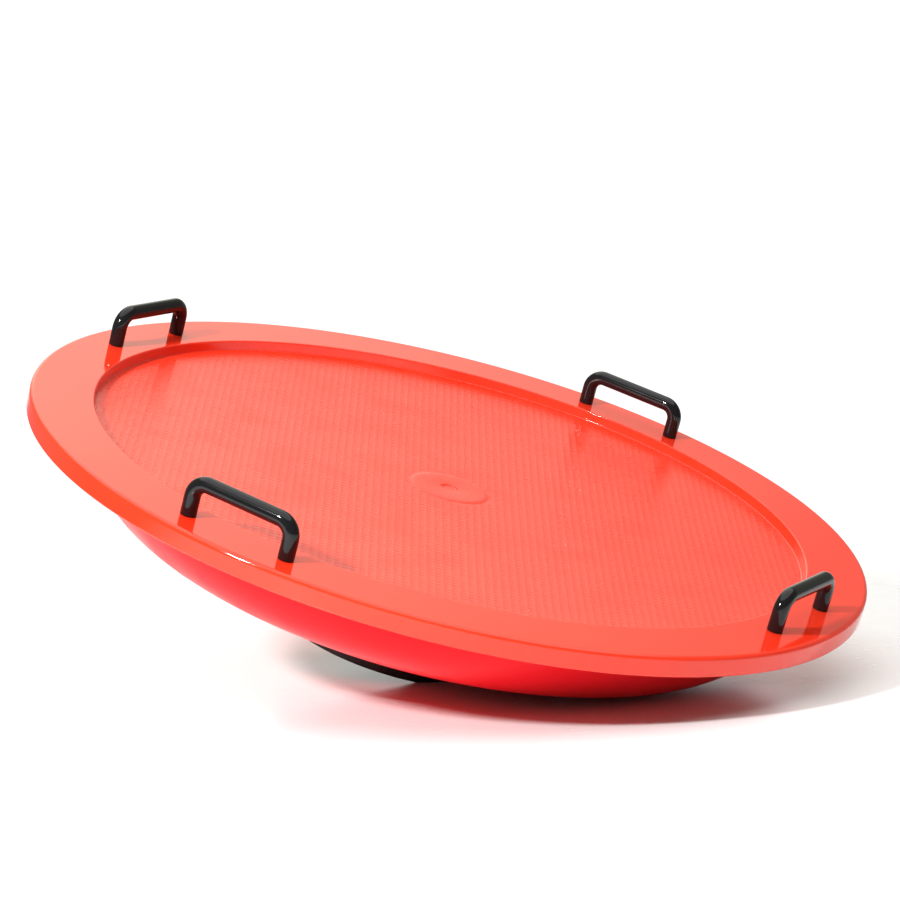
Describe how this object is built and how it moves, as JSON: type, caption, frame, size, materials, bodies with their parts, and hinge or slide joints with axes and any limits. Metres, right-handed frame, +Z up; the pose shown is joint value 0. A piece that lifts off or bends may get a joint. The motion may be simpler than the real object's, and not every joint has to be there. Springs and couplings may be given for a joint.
{
  "type": "round wobble board",
  "caption": "Large round balance board with a dished textured deck, bar handles round the rim, and a rocking bowl with a flat rubber foot.",
  "frame": {"origin": "centre of the underside of the foot, at floor level when the board rests level", "axes": "+Z up along the board's axis, -Y towards the front handle, +X towards the right handle"},
  "size_m": [1, 1, 0.2496],
  "materials": {
    "red_plastic": "glossy moulded, fine wear scuffs",
    "red_textured_plastic": "satin gloss with a fine moulded square grid",
    "red_bowl_plastic": "smooth semi-gloss",
    "black_plastic": "smooth high gloss",
    "black_rubber": "matt moulded",
    "grey_plastic": "matt moulded",
    "zinc_steel": "zinc plated"
  },
  "bodies": {
    "root": {"deck_rim": "red_plastic", "deck_panel": "red_textured_plastic", "hub_plug": "red_plastic", "bowl_shell": "red_bowl_plastic", "clamp_ring": "grey_plastic", "centre_post": "grey_plastic", "support_ring": "grey_plastic", "centre_bolt": "zinc_steel", "foot_pad": "black_rubber", "foot_washer": "zinc_steel", "foot_nut": "zinc_steel", "foot_screw_1": "zinc_steel", "foot_screw_2": "zinc_steel", "foot_screw_3": "zinc_steel", "foot_screw_4": "zinc_steel", "foot_screw_nut_1": "zinc_steel", "foot_screw_nut_2": "zinc_steel", "foot_screw_nut_3": "zinc_steel", "foot_screw_nut_4": "zinc_steel", "handle_front": "black_plastic", "handle_right": "black_plastic", "handle_back": "black_plastic", "handle_left": "black_plastic", "handle_washer_front_a": "zinc_steel", "handle_washer_front_b": "zinc_steel", "handle_washer_right_a": "zinc_steel", "handle_washer_right_b": "zinc_steel", "handle_washer_back_a": "zinc_steel", "handle_washer_back_b": "zinc_steel", "handle_washer_left_a": "zinc_steel", "handle_washer_left_b": "zinc_steel", "handle_screw_front_a": "zinc_steel", "handle_screw_front_b": "zinc_steel", "handle_screw_right_a": "zinc_steel", "handle_screw_right_b": "zinc_steel", "handle_screw_back_a": "zinc_steel", "handle_screw_back_b": "zinc_steel", "handle_screw_left_a": "zinc_steel", "handle_screw_left_b": "zinc_steel", "rim_screw_1": "zinc_steel", "rim_screw_2": "zinc_steel", "rim_screw_3": "zinc_steel", "rim_screw_4": "zinc_steel", "rim_screw_5": "zinc_steel", "rim_screw_6": "zinc_steel", "rim_screw_7": "zinc_steel", "rim_screw_8": "zinc_steel"}
  },
  "joints": []
}
